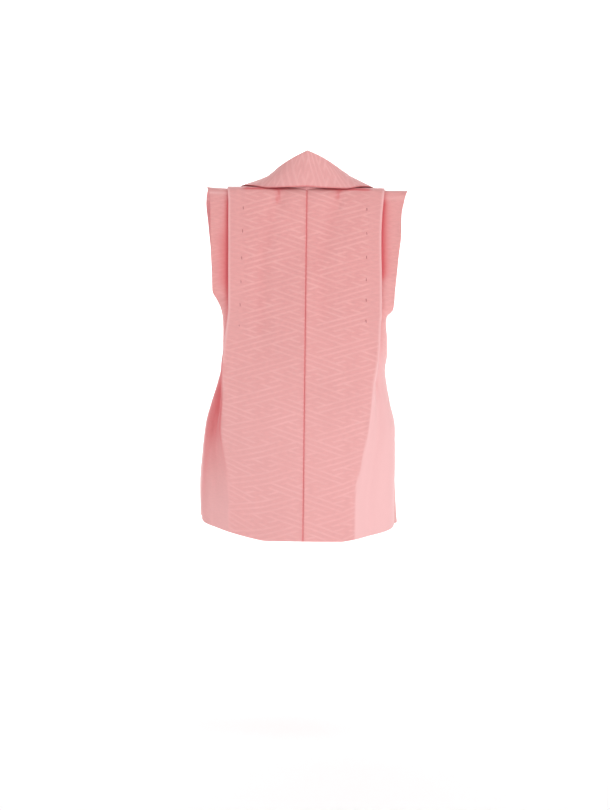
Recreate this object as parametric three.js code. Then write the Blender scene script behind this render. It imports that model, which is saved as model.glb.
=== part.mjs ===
// A child's sleeveless over-vest (hifu): two body lengths with sewn shoulder tucks, side
// gussets, lapped fronts with upright bands, a turned-down collar round a square neck opening,
// and two cord knots with loops.  Millimetres, +Z up, the front faces -Y, the wearer's left is +X.
// The origin lies midway between the two shoulder ridges.
import * as THREE from 'three';

// sizes of the cloth
const WALL = 1.2; // cloth wall
const SEAM = 0.3; // gap between sewn pieces
const TUCK_CLOTH = 26.9; // cloth that one shoulder tuck takes up on one side of its fold
const PANEL_HALF = 115; // width over which a panel's convex depth is given
const LAP = 2.6; // the left front lies this far outside the plain front, the right one inside
const LAP_FROM = -22; // height where the two fronts start to part
const LAP_FULL = -90; // height where they are fully parted

// grid of a body length, in columns across the cloth
const FLAT_COLUMNS = 8;
const TURN_COLUMNS = 3;
const SIDE_COLUMNS = 5;

// corner between a panel and its side seam: how far out along the panel it lies, from the
// shallow sides at the armhole to the deep ones below it
const CORNER_REACH = 0.5;
const SHALLOW_SIDE = 9;
const SIDE_DEPTH_SPAN = 30;

// hem that rises towards the sides
const HEM_RISE = { 1: 40, [-1]: 34 };
const HEM_FLAT = 55; // half width of the hem that stays level
const HEM_SPAN = 145; // cloth from there to the side seam
const HEM_POWER = 1.2;
const HEM_FROM = -300;
const HEM_Z = -524;

// collar
const FRONT_TURN = 1.2; // fold radius of the collar on the fronts
const LEAF_OUT = 2.0; // outer edge of the collar above the cloth that it lies on
const NECK_HALF = 75; // front edge of a body length
const LAP_TOP = -104; // top edge of the lapped fronts
const BAND_INNER = 50;
const BAND_OUTER = 84;

// colours as seen
const CLOTH = 0xe9a3a4;
const CORD = 0xe39a9c;

const table = (columns, rows) => rows.map(row =>
  Object.fromEntries(columns.map((name, index) => [name, row[index]])));

// the middle of the cloth from the back hem over the shoulder to the front hem at x = 0:
// depth y, height z, how far the panel falls off at its fold, and the panel's inner edge
const PROFILE = table(['y', 'z', 'crown', 'inner'], [
  [102, -524, 20, 0.15],
  [102, -470, 19, 0.15],
  [101.5, -420, 17, 0.15],
  [100, -365, 15, 0.15],
  [98, -325, 13, 0.15],
  [95.5, -297, 11, 0.15],
  [92, -272, 10, 0.15],
  [88, -248, 9, 0.15],
  [84, -225, 8, 0.15],
  [80, -206, 7, 0.15],
  [78, -195, 6.5, 0.15],
  [76.5, -185, 6.5, 0.15],
  [75, -174, 6, 0.15],
  [73, -160, 6, 0.15],
  [69, -128, 5.5, 0.15],
  [64.5, -85, 5, 0.15],
  [60, -48, 4, 0.15],
  [55.5, -24, 3, 0.15],
  [50, -10, 2, 0.15],
  [46.5, -7, 1.5, 14],
  [41, -5.2, 1, 29],
  [30, -3.6, 0.5, 46],
  [15, -2.4, 0, 61],
  [0, -2, 0, 70],
  [-15, -2.7, 0, 74],
  [-30, -5.2, 1, 75],
  [-42, -10.5, 2, 75],
  [-51, -22, 3, 75],
  [-58, -48, 4, 75],
  [-65, -76, 5, 75],
  [-71.5, -104, 5.5, 75],
  [-76.5, -128, 6, 75],
  [-81, -160, 7, 75],
  [-83, -174, 7, 75],
  [-84.5, -185, 7.5, 75],
  [-86, -195, 7.5, 75],
  [-87.5, -206, 8, 75],
  [-91, -225, 9, 75],
  [-94.5, -248, 10, 75],
  [-97.5, -272, 11, 75],
  [-100, -297, 12, 75],
  [-102.5, -325, 13, 75],
  [-105, -365, 15, 75],
  [-107, -420, 17, 75],
  [-108, -470, 19, 75],
  [-108, -524, 20, 75],
]);
const RIDGE = PROFILE.findIndex(row => row.y === 0);
const NECK_ROW = PROFILE.findIndex(row => row.inner > 1) - 1;
const LAP_ROW = PROFILE.findIndex(row => row.y < 0 && row.z === LAP_TOP);
const ARMHOLE_Z = -206; // row where the gusset starts
const LAST = PROFILE.length - 1;

// a body length beyond its flat panel, by height: x of the tuck fold, how far the fold is
// turned (180 is shut), its radius, x of the outer edge and how far that lies behind the panel
const SIDE_NAMES = ['z', 'fold', 'turn', 'radius', 'edge', 'depth'];
const BACK_LEFT = table(SIDE_NAMES, [
  [-2, 117.6, 180, 0.9, 149, 1],
  [-10, 116.5, 180, 0.9, 144.5, 4],
  [-24, 115.3, 180, 0.9, 142.5, 5.5],
  [-48, 115, 180, 0.9, 141.3, 7],
  [-100, 114.2, 180, 0.9, 140.2, 8.5],
  [-137, 113.8, 180, 0.9, 138, 9],
  [-160, 113.3, 180, 0.9, 137, 11],
  [-174, 113, 180, 0.9, 129.5, 21],
  [-185, 112.9, 180, 0.9, 124.5, 33],
  [-195, 113.3, 180, 0.9, 122.5, 43],
  [-206, 114.6, 180, 0.9, 121.5, 49],
  [-225, 116.8, 176, 1, 121, 52],
  [-248, 119.6, 162, 1.6, 121, 56],
  [-272, 122.3, 138, 2.6, 123, 59],
  [-297, 122.4, 110, 4, 129, 61],
  [-325, 123.4, 86, 6, 136, 62],
  [-365, 125, 60, 6.5, 144, 63],
  [-420, 117, 36, 9, 148, 64],
  [-470, 112.5, 22, 12, 150, 64],
  [-524, 110, 10, 16, 149, 64],
]);
const BACK_RIGHT = table(SIDE_NAMES, [
  [-2, 115, 180, 0.9, 149.5, 3],
  [-10, 114, 180, 0.9, 147, 5],
  [-24, 112.8, 180, 0.9, 143.5, 6],
  [-48, 111, 180, 0.9, 139.8, 7],
  [-75, 110, 180, 0.9, 139.6, 7.5],
  [-104, 110.3, 180, 0.9, 136.4, 8.5],
  [-132, 111.2, 180, 0.9, 133.9, 9],
  [-160, 111.4, 180, 0.9, 131.2, 11],
  [-174, 111.5, 180, 0.9, 130.3, 14],
  [-185, 111.5, 180, 0.9, 128.6, 22],
  [-195, 111.6, 180, 0.9, 120, 38],
  [-206, 110.2, 180, 0.9, 119.5, 47],
  [-225, 109.6, 176, 1, 121, 52],
  [-248, 108.8, 160, 1.6, 121.5, 55],
  [-272, 107.4, 128, 3, 118.5, 58],
  [-297, 104, 92, 5, 121.5, 60],
  [-325, 102.6, 66, 7, 126.5, 62],
  [-365, 98.8, 46, 9, 134, 63],
  [-420, 91, 34, 13, 134.5, 64],
  [-470, 82.6, 26, 15, 133.5, 64],
  [-524, 81, 20, 16, 134, 64],
]);
const FRONT_LEFT = table(SIDE_NAMES, [
  [-2, 117.6, 180, 0.9, 149, 1],
  [-10, 117, 180, 0.9, 152, 3],
  [-22, 116.5, 180, 0.9, 152.5, 5],
  [-48, 116, 180, 0.9, 150, 6.5],
  [-104, 114.5, 180, 0.9, 144, 8],
  [-128, 114, 180, 0.9, 141, 9],
  [-160, 113.5, 180, 0.9, 137, 11],
  [-174, 113, 180, 0.9, 130, 20],
  [-185, 113, 180, 0.9, 125, 33],
  [-195, 113, 180, 0.9, 122.5, 44],
  [-206, 113.5, 180, 0.9, 121.5, 52],
  [-225, 114, 176, 1, 121, 56],
  [-248, 114.5, 160, 1.6, 122, 61],
  [-272, 115, 134, 2.8, 124.5, 65],
  [-297, 114, 106, 4.4, 129, 67],
  [-325, 112.5, 80, 6.8, 136, 68],
  [-365, 111, 56, 9.5, 144, 69.5],
  [-420, 108, 34, 12.5, 148, 71],
  [-470, 107, 20, 16, 150, 71],
  [-524, 106, 8, 20, 149, 71],
]);
const FRONT_RIGHT = table(SIDE_NAMES, [
  [-2, 115, 180, 0.9, 149.5, 3],
  [-10, 114.5, 180, 0.9, 148, 4],
  [-48, 112, 180, 0.9, 142, 6.5],
  [-104, 111.5, 180, 0.9, 137.5, 8],
  [-128, 111.5, 180, 0.9, 135, 9],
  [-160, 111.5, 180, 0.9, 131.5, 11],
  [-174, 111.5, 180, 0.9, 130, 15],
  [-185, 111.5, 180, 0.9, 127.5, 25],
  [-195, 111.5, 180, 0.9, 120.5, 41],
  [-206, 111.5, 180, 0.9, 119.5, 51],
  [-225, 111.5, 176, 1, 121, 56],
  [-248, 111.5, 160, 1.6, 121.5, 61],
  [-272, 111, 132, 2.8, 119.5, 65],
  [-297, 110, 104, 4.6, 121.5, 67],
  [-325, 108, 78, 7, 126.5, 68],
  [-365, 106, 54, 10, 133.5, 69.5],
  [-420, 103, 34, 13, 134.5, 71],
  [-470, 101, 22, 16, 133.5, 71],
  [-524, 100, 12, 18, 134, 71],
]);

// linear look-up of every column at one height
function at(rows, z) {
  const lower = rows.findIndex(row => row.z <= z);
  if (lower <= 0) return { ...rows[lower < 0 ? rows.length - 1 : 0] };
  const a = rows[lower - 1];
  const b = rows[lower];
  const t = (z - a.z) / (b.z - a.z);
  return Object.fromEntries(Object.keys(a).map(key => [key, a[key] + (b[key] - a[key]) * t]));
}
const BACK = PROFILE.slice(0, RIDGE + 1).reverse();
const FRONT = PROFILE.slice(RIDGE);

const clamp = (value, low, high) => Math.min(high, Math.max(low, value));
const lapAt = z => LAP * clamp((LAP_FROM - z) / (LAP_FROM - LAP_FULL), 0, 1);

// how far the hem's rise lifts a point, by the cloth between it and the middle
function rise(side, cloth, z) {
  const low = clamp((HEM_FROM - z) / (HEM_FROM - HEM_Z), 0, 1);
  const out = clamp((cloth - HEM_FLAT) / HEM_SPAN, 0, 1);
  return HEM_RISE[side] * low * out ** HEM_POWER;
}

// outward direction of the cloth at a profile row: level on the upright stretches
const UPRIGHT_Z = -40;
function facing(index) {
  const row = PROFILE[index];
  if (row.z < UPRIGHT_Z) return { y: Math.sign(row.y), z: 0 };
  const before = PROFILE[index - 1];
  const after = PROFILE[index + 1];
  const length = Math.hypot(after.y - before.y, after.z - before.z);
  return { y: (after.z - before.z) / length, z: -(after.y - before.y) / length };
}

// a point of profile row `index`: x across, `out` along the outward direction
function place(index, side, x, out, cloth = x) {
  const row = PROFILE[index];
  const face = facing(index);
  const lap = row.y < 0 ? side * lapAt(row.z) : 0;
  const away = out + lap;
  return new THREE.Vector3(side * x, row.y + face.y * away,
    row.z + face.z * away + rise(side, cloth, row.z));
}

// one row of a body length in its own plane: [x, out, cloth from the middle]
function section(index, side) {
  const row = PROFILE[index];
  const tables = side > 0 ? [BACK_LEFT, FRONT_LEFT] : [BACK_RIGHT, FRONT_RIGHT];
  const s = at(tables[index > RIDGE ? 1 : 0], row.z);
  const turn = THREE.MathUtils.degToRad(s.turn);
  const start = s.fold - s.radius * Math.sin(Math.min(turn, Math.PI / 2));
  const crown = x => -row.crown * (x / PANEL_HALF) ** 2;
  const points = [];
  for (let k = 0; k <= FLAT_COLUMNS; k++) {
    const x = row.inner + (start - row.inner) * k / FLAT_COLUMNS;
    points.push([x, crown(x), x]);
  }
  let [x, out, cloth] = points.at(-1);
  const heading = -Math.atan(2 * row.crown * start / PANEL_HALF ** 2);
  let angle = heading;
  const step = (length, bend) => {
    angle += bend / 2;
    x += length * Math.cos(angle);
    out += length * Math.sin(angle);
    cloth += length;
    angle += bend / 2;
    points.push([x, out, cloth]);
  };
  const bend = turn / TURN_COLUMNS;
  const chord = 2 * s.radius * Math.sin(bend / 2);
  for (let k = 0; k < TURN_COLUMNS; k++) step(chord, -bend);
  step(TUCK_CLOTH - 2 * s.radius * turn, 0);
  for (let k = 0; k < TURN_COLUMNS; k++) step(chord, bend);
  // the rest of the cloth runs on along the panel and rounds the corner to its edge
  const reach = CORNER_REACH
    + (1 - CORNER_REACH) * clamp((s.depth - SHALLOW_SIDE) / SIDE_DEPTH_SPAN, 0, 1);
  const cornerX = x + (s.edge - x) * reach;
  const cornerOut = out + (cornerX - x) * Math.tan(heading);
  const from = [x, out];
  for (let k = 1; k <= SIDE_COLUMNS; k++) {
    const t = k / SIDE_COLUMNS;
    const a = (1 - t) ** 2;
    const b = 2 * t * (1 - t);
    const c = t * t;
    const nextX = a * from[0] + b * cornerX + c * s.edge;
    const nextOut = a * from[1] + b * cornerOut - c * s.depth;
    cloth += Math.hypot(nextX - x, nextOut - out);
    x = nextX;
    out = nextOut;
    points.push([x, out, cloth]);
  }
  return points;
}

// a closed wall of cloth round a grid of middle points; `side` sets which face is outward
function wall(name, grid, side, colour, thickness = WALL) {
  const rows = grid.length;
  const columns = grid[0].length;
  const normal = grid.map(row => row.map(() => new THREE.Vector3()));
  const add = (a, b, c) => {
    const [p, q, r] = [a, b, c].map(([i, j]) => grid[i][j]);
    const n = q.clone().sub(p).cross(r.clone().sub(p));
    for (const [i, j] of [a, b, c]) normal[i][j].add(n);
  };
  const faces = [];
  for (let i = 0; i + 1 < rows; i++) {
    for (let j = 0; j + 1 < columns; j++) {
      faces.push([[i, j], [i + 1, j], [i + 1, j + 1]], [[i, j], [i + 1, j + 1], [i, j + 1]]);
    }
  }
  for (const face of faces) add(...face);
  const positions = [];
  for (const sign of [1, -1]) {
    grid.forEach((row, i) => row.forEach((point, j) => {
      const n = normal[i][j].clone().normalize().multiplyScalar(side * sign * thickness / 2);
      positions.push(point.x + n.x, point.y + n.y, point.z + n.z);
    }));
  }
  const index = [];
  const inner = rows * columns;
  const id = ([i, j], layer) => i * columns + j + layer * inner;
  const flip = side < 0;
  const triangle = (a, b, c) => index.push(...(flip ? [a, c, b] : [a, b, c]));
  for (const [a, b, c] of faces) {
    triangle(id(a, 0), id(b, 0), id(c, 0));
    triangle(id(a, 1), id(c, 1), id(b, 1));
  }
  const rim = [];
  for (let i = 0; i < rows; i++) rim.push([i, 0]);
  for (let j = 1; j < columns; j++) rim.push([rows - 1, j]);
  for (let i = rows - 2; i >= 0; i--) rim.push([i, columns - 1]);
  for (let j = columns - 2; j > 0; j--) rim.push([0, j]);
  rim.forEach((a, k) => {
    const b = rim[(k + 1) % rim.length];
    triangle(id(b, 0), id(a, 0), id(a, 1));
    triangle(id(b, 0), id(a, 1), id(b, 1));
  });
  return solid(name, positions, index, colour);
}

function solid(name, positions, index, colour) {
  const geometry = new THREE.BufferGeometry();
  geometry.setAttribute('position', new THREE.Float32BufferAttribute(positions, 3));
  geometry.setIndex(index);
  geometry.computeVertexNormals();
  const material = new THREE.MeshStandardMaterial({ color: colour, roughness: 0.75, metalness: 0 });
  const mesh = new THREE.Mesh(geometry, material);
  mesh.name = name;
  return mesh;
}

function bodyGrid(side) {
  return PROFILE.map((row, index) =>
    section(index, side).map(([x, out, cloth]) => place(index, side, x, out, cloth)));
}

// the gusset: each row runs from the back edge round the side to the front edge
const GUSSET_COLUMNS = 7;
const GUSSET_SWELL = table(['z', 'left', 'right'], [
  [-206, -1, -1], [-297, 1, 0], [-365, 2, 0], [-450, 3, 1], [-524, 3, 5]]);
function gussetGrid(side, body) {
  const grid = [];
  for (let low = 0; PROFILE[low].z <= ARMHOLE_Z; low++) {
    const high = LAST - low;
    const back = body[low].at(-1);
    const front = body[high].at(-1);
    const backWay = back.clone().sub(body[low].at(-2)).setZ(0).normalize();
    const frontWay = body[high].at(-2).clone().sub(front).setZ(0).normalize();
    const start = back.clone().addScaledVector(backWay, SEAM);
    const end = front.clone().addScaledVector(frontWay, -SEAM);
    const span = start.distanceTo(end);
    const swell = at(GUSSET_SWELL, PROFILE[low].z)[side > 0 ? 'left' : 'right'];
    const row = [];
    for (let k = 0; k <= GUSSET_COLUMNS; k++) {
      const t = k / GUSSET_COLUMNS;
      const point = start.clone().multiplyScalar(2 * t ** 3 - 3 * t ** 2 + 1)
        .addScaledVector(end, 3 * t ** 2 - 2 * t ** 3)
        .addScaledVector(backWay, span * (t ** 3 - 2 * t ** 2 + t))
        .addScaledVector(frontWay, span * (t ** 3 - t ** 2));
      point.x += side * swell * Math.sin(Math.PI * t) ** 2;
      row.push(point);
    }
    grid.push(row);
  }
  return grid;
}

// a point on the plain front: x across, height z, `out` in front of the cloth
function front(side, x, z, out) {
  const row = at(FRONT, z);
  const depth = row.y + row.crown * (x / PANEL_HALF) ** 2;
  const shown = Math.sign(side * x) || side;
  return new THREE.Vector3(side * x, depth - side * lapAt(z) - out,
    z + rise(shown, Math.abs(x), z));
}

// the lapped fronts and their bands: level rows between two uprights
const FRONT_COLUMNS = 7;
const BAND_COLUMNS = 2;
function frontGrid(side, from, to, columns) {
  return PROFILE.slice(LAP_ROW).map(row => {
    const points = [];
    for (let k = 0; k <= columns; k++) {
      points.push(front(side, from + (to - from) * k / columns, row.z, 0));
    }
    return points;
  });
}

// the collar: stations from the back of the neck round to the free edge of the front.
// ridge and edge of the turned-down leaf, for the stations on the body lengths' neck rows
const COLLAR_NAMES = ['turn', 'rx', 'ry', 'rz', 'ex', 'ey', 'ez'];
const COLLAR_LEFT = table(COLLAR_NAMES, [
  [2.6, 0, 46, 49.2, 0, 54, -4.8],
  [2.6, 21, 43.8, 38.2, 31, 54, -6.2],
  [2.5, 38, 36, 28, 56, 51, -6.8],
  [2.4, 50, 22.5, 19.3, 79, 35.5, -2.6],
  [2.2, 58, 8, 14.2, 92, 15, 0],
  [2, 61, -4, 11.5, 98, 0, 0.4],
  [1.8, 63, -18, 7.5, 101, -16, -0.3],
  [1.6, 64, -32, 1.5, 104, -31.5, -3],
  [1.4, 64.5, -45.5, -6, 105, -43.8, -8.5],
]);
const COLLAR_RIGHT = table(COLLAR_NAMES, [
  [2.6, 0, 46, 49.2, 0, 54, -4.8],
  [2.6, 21, 43.8, 40, 31, 54, -6.6],
  [2.5, 38, 36, 30.5, 56, 51, -6.8],
  [2.4, 51, 22.5, 23, 79, 34.5, -2],
  [2.2, 59, 8, 19, 92, 15, 0],
  [2, 62, -4, 15, 98, 0, 0.6],
  [1.8, 63.5, -18, 10, 101, -16, -0.3],
  [1.6, 64, -32, 3, 104, -31.5, -3],
  [1.4, 64.5, -45.5, -5.5, 105, -43.8, -8.5],
]);
// stations on the fronts: seam, ridge and edge as x and z
const COLLAR_FRONT = table(['sx', 'sz', 'rx', 'rz', 'ex', 'ez'], [
  [75, -22, 64, -22, 105, -23],
  [75, -48, 63.5, -48, 105.5, -50],
  [75, -66, 63, -66, 106, -72],
  [75, -80, 63, -79, 106.5, -95],
  [75, -92, 62.5, -87, 106, -116],
  [75, -104, 61.3, -90.3, 103, -131],
  [69, -104, 58.5, -91.8, 95, -139.5],
  [60, -104, 54, -92.2, 80, -143],
  [46, -104, 43, -92.3, 55, -143],
  [22, -104, 21, -92.4, 24, -143],
  [0, -104, 0, -92.4, 0, -143],
  [-22, -104, -22, -92.4, -22, -143],
  [-44, -104, -44, -92.4, -44, -143],
  [-64, -104, -64, -92.4, -64, -143],
  [-84, -104, -84, -92.4, -84, -143],
]);
const STAND_COLUMNS = 3;
const FOLD_COLUMNS = 4;
const LEAF_COLUMNS = 4;

// one station's row: up the stand, over the ridge and down the leaf
function collarRow(seam, ridge, edge, radius, bow) {
  const up = ridge.clone().sub(seam).normalize();
  const across = edge.clone().sub(seam);
  across.addScaledVector(up, -across.dot(up)).normalize();
  const centre = ridge.clone().addScaledVector(up, -radius);
  const row = [];
  const top = centre.clone().addScaledVector(across, -radius);
  for (let k = 0; k < STAND_COLUMNS; k++) row.push(seam.clone().lerp(top, k / STAND_COLUMNS));
  for (let k = 0; k <= FOLD_COLUMNS; k++) {
    const angle = Math.PI * k / FOLD_COLUMNS;
    row.push(centre.clone().addScaledVector(across, -radius * Math.cos(angle))
      .addScaledVector(up, radius * Math.sin(angle)));
  }
  const start = row.at(-1);
  for (let k = 1; k <= LEAF_COLUMNS; k++) {
    const t = k / LEAF_COLUMNS;
    row.push(start.clone().lerp(edge, t).addScaledVector(across, bow * 4 * t * (1 - t)));
  }
  return row;
}

const LEAF_BOW = 1.5; // outward bow of the leaf at the back
const STAND_SEAM = SEAM + 0.65; // the stand rises across the cloth here, so its wall counts too
function collarHalf(side) {
  const rows = [];
  const keys = side > 0 ? COLLAR_LEFT : COLLAR_RIGHT;
  keys.forEach((key, k) => {
    const index = NECK_ROW + k;
    const x = PROFILE[index].inner;
    const before = PROFILE[Math.max(NECK_ROW, index - 1)];
    const after = PROFILE[index + 1];
    // the seam line is the neck edge of the cloth, moved into the opening by the seam gap
    const run = new THREE.Vector2(after.inner - before.inner,
      Math.hypot(after.y - before.y, after.z - before.z)).normalize();
    const crown = -PROFILE[index].crown * (x / PANEL_HALF) ** 2;
    const seam = place(index, side, x, crown);
    if (k === 0) seam.x = 0;
    seam.x -= side * run.y * STAND_SEAM * (k === 0 ? 0 : 1);
    const onward = place(index + 1, side, x, crown).sub(place(index, side, x, crown)).normalize();
    seam.addScaledVector(onward, run.x * STAND_SEAM);
    const ridge = new THREE.Vector3(side * key.rx, key.ry, key.rz);
    const edge = new THREE.Vector3(side * key.ex, key.ey, key.ez);
    rows.push(collarRow(seam, ridge, edge, key.turn, LEAF_BOW));
  });
  COLLAR_FRONT.forEach(key => {
    const seamX = key.sx === NECK_HALF ? key.sx - SEAM : key.sx;
    const seamZ = key.sz === LAP_TOP ? key.sz + SEAM : key.sz;
    // worked out on flat cloth, x, out and z, then laid on the front
    const flat = collarRow(new THREE.Vector3(seamX, 0, seamZ),
      new THREE.Vector3(key.rx, FRONT_TURN, key.rz),
      new THREE.Vector3(key.ex, LEAF_OUT, key.ez), FRONT_TURN, 0);
    rows.push(flat.map(point => front(side, point.x, point.z, point.y)));
  });
  return rows;
}

// a round cord with flat ends along a path
const CORD_SIDES = 8;
function cord(name, path, radius, colour) {
  const positions = [];
  const index = [];
  const up = new THREE.Vector3(0, -1, 0);
  path.forEach((point, i) => {
    const along = path[Math.min(i + 1, path.length - 1)].clone()
      .sub(path[Math.max(i - 1, 0)]).normalize();
    const sideways = along.clone().cross(up).normalize();
    const rising = sideways.clone().cross(along).normalize();
    for (let k = 0; k < CORD_SIDES; k++) {
      const angle = 2 * Math.PI * k / CORD_SIDES;
      const p = point.clone().addScaledVector(sideways, radius * Math.cos(angle))
        .addScaledVector(rising, radius * Math.sin(angle));
      positions.push(p.x, p.y, p.z);
    }
  });
  const ring = (i, k) => i * CORD_SIDES + k % CORD_SIDES;
  for (let i = 0; i + 1 < path.length; i++) {
    for (let k = 0; k < CORD_SIDES; k++) {
      index.push(ring(i, k), ring(i + 1, k + 1), ring(i, k + 1));
      index.push(ring(i, k), ring(i + 1, k), ring(i + 1, k + 1));
    }
  }
  const last = path.length - 1;
  for (let k = 1; k + 1 < CORD_SIDES; k++) {
    index.push(ring(0, 0), ring(0, k), ring(0, k + 1));
    index.push(ring(last, 0), ring(last, k + 1), ring(last, k));
  }
  return solid(name, positions, index, colour);
}

// a knot on the right length and the loop of the left front's band that goes round it
const KNOT_X = -96;
const KNOT_RADIUS = 5;
const NECK_RADIUS = 1.5;
const KNOT_SIDES = 14;
const KNOT_STEPS = 8;
const LOOP_RADIUS = 1;
const LOOP_GAP = 1.5;
const BALL_GAP = 0.9;
const LOOP_START_X = -66;
const LOOP_LEG_STEPS = 5;
const LOOP_ARC_STEPS = 8;
const KNOT_LEVELS = { upper: -165, lower: -235 };
const CLEAR = WALL / 2 + SEAM;
function knotAndLoop(level, z) {
  const base = front(-1, -KNOT_X, z, CLEAR);
  const loopAt = front(1, -BAND_OUTER, z, CLEAR + LOOP_RADIUS);
  const foot = -base.y;
  const ball = -loopAt.y + LOOP_RADIUS + BALL_GAP + KNOT_RADIUS;
  // lathe profile: up the neck and round the ball, radius and height
  const profile = [[0, foot], [NECK_RADIUS, foot]];
  const open = Math.asin(NECK_RADIUS / KNOT_RADIUS);
  for (let k = 0; k <= KNOT_STEPS; k++) {
    const angle = Math.PI - open - (Math.PI - open) * k / KNOT_STEPS;
    const radius = k === KNOT_STEPS ? 0 : KNOT_RADIUS * Math.sin(angle);
    profile.push([radius, ball + KNOT_RADIUS * Math.cos(angle)]);
  }
  const positions = [];
  const index = [];
  const rings = profile.length;
  profile.forEach(([radius, height]) => {
    const count = radius === 0 ? 1 : KNOT_SIDES;
    for (let k = 0; k < count; k++) {
      const angle = 2 * Math.PI * k / KNOT_SIDES;
      positions.push(KNOT_X + radius * Math.cos(angle), -height, base.z - radius * Math.sin(angle));
    }
  });
  const ring = (i, k) => 1 + (i - 1) * KNOT_SIDES + k % KNOT_SIDES;
  const tip = 1 + (rings - 2) * KNOT_SIDES;
  for (let k = 0; k < KNOT_SIDES; k++) {
    index.push(0, ring(1, k), ring(1, k + 1));
    for (let i = 1; i + 1 < rings - 1; i++) {
      index.push(ring(i, k), ring(i + 1, k), ring(i + 1, k + 1));
      index.push(ring(i, k), ring(i + 1, k + 1), ring(i, k + 1));
    }
    index.push(ring(rings - 2, k), tip, ring(rings - 2, k + 1));
  }
  const knot = solid(`knot_${level}`, positions, index, CORD);
  const bend = NECK_RADIUS + LOOP_GAP + LOOP_RADIUS;
  const path = [];
  const lie = (x, dz) => {
    const onBand = front(1, Math.max(x, -BAND_OUTER), z + dz, CLEAR + LOOP_RADIUS);
    return new THREE.Vector3(x, onBand.y, base.z + dz);
  };
  const legX = k => LOOP_START_X + (KNOT_X - LOOP_START_X) * k / LOOP_LEG_STEPS;
  for (let k = 0; k < LOOP_LEG_STEPS; k++) path.push(lie(legX(k), bend));
  for (let k = 0; k <= LOOP_ARC_STEPS; k++) {
    const angle = Math.PI / 2 + Math.PI * k / LOOP_ARC_STEPS;
    path.push(lie(KNOT_X + bend * Math.cos(angle), bend * Math.sin(angle)));
  }
  for (let k = LOOP_LEG_STEPS - 1; k >= 0; k--) path.push(lie(legX(k), -bend));
  return [knot, cord(`loop_${level}`, path, LOOP_RADIUS, CORD)];
}

const vest = new THREE.Group();
vest.name = 'hifu_vest';
for (const [side, word] of [[1, 'left'], [-1, 'right']]) {
  const body = bodyGrid(side);
  vest.add(wall(`body_${word}`, body, side, CLOTH));
  vest.add(wall(`gusset_${word}`, gussetGrid(side, body), side, CLOTH));
  const lapped = frontGrid(side, -BAND_INNER + SEAM / 2, NECK_HALF - SEAM, FRONT_COLUMNS);
  vest.add(wall(`overlap_${word}`, lapped, side, CLOTH));
  const band = frontGrid(side, -BAND_OUTER, -BAND_INNER - SEAM / 2, BAND_COLUMNS);
  vest.add(wall(`front_band_${word}`, band, side, CLOTH));
}
// the two halves of the collar meet in one row at the back of the neck
const collar = [...collarHalf(-1).reverse(), ...collarHalf(1).slice(1)];
vest.add(wall('collar', collar, 1, CLOTH));
for (const [level, z] of Object.entries(KNOT_LEVELS)) vest.add(...knotAndLoop(level, z));

export default vest;
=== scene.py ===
import math

import bmesh
import bpy
import numpy as np
from mathutils import Matrix, Vector, noise


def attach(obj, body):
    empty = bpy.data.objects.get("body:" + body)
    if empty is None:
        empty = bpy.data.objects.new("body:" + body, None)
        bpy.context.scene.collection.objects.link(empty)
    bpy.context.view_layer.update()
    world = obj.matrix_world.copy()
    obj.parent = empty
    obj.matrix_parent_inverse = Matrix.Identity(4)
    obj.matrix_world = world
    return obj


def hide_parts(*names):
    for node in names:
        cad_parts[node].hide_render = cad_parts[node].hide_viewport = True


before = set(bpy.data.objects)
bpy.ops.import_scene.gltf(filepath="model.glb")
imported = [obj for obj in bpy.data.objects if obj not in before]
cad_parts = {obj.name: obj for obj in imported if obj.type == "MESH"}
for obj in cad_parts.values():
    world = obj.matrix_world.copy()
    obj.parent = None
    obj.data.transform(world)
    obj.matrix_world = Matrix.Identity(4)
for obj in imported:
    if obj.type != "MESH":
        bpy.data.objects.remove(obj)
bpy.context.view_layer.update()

# Body lengths, left and right.  Each is one width of figured satin that runs from the back hem
# over the shoulder to the front hem, with the shoulder tuck pressed flat and sewn as a fold.
# The twins are sewn together down the centre back, so a narrow groove shows there.
MM = 0.001  # the tables are in mm, in the frame's directions; sides are 1 left and -1 right
SEAM = 0.3
EDGE_GAP = SEAM / 2  # from a sewn edge to the middle of its seam
CLOTH_THICK = 0.9
RIM_WIDTH, RIM_ANGLE = 0.3 * CLOTH_THICK, math.radians(60)
ROW_PITCH = 3.2
TUCK_CLOTH = 26.9
SHUT_TURN, SHUT_RADIUS = 180, 0.9
PANEL_HALF = 115
NECK_HALF = 75
LAP, LAP_FROM, LAP_FULL = 2.6, -22, -90
HEM_RISE = {1: 40, -1: 34}
HEM_FLAT, HEM_SPAN, HEM_POWER = 55, 145, 1.2
HEM_FROM, HEM_Z = -300, -524
UPRIGHT_Z = -40


def columns(names, rows):
    """A table as one array for each named column."""
    return dict(zip(names.split(), np.array(rows, float).T))


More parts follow.
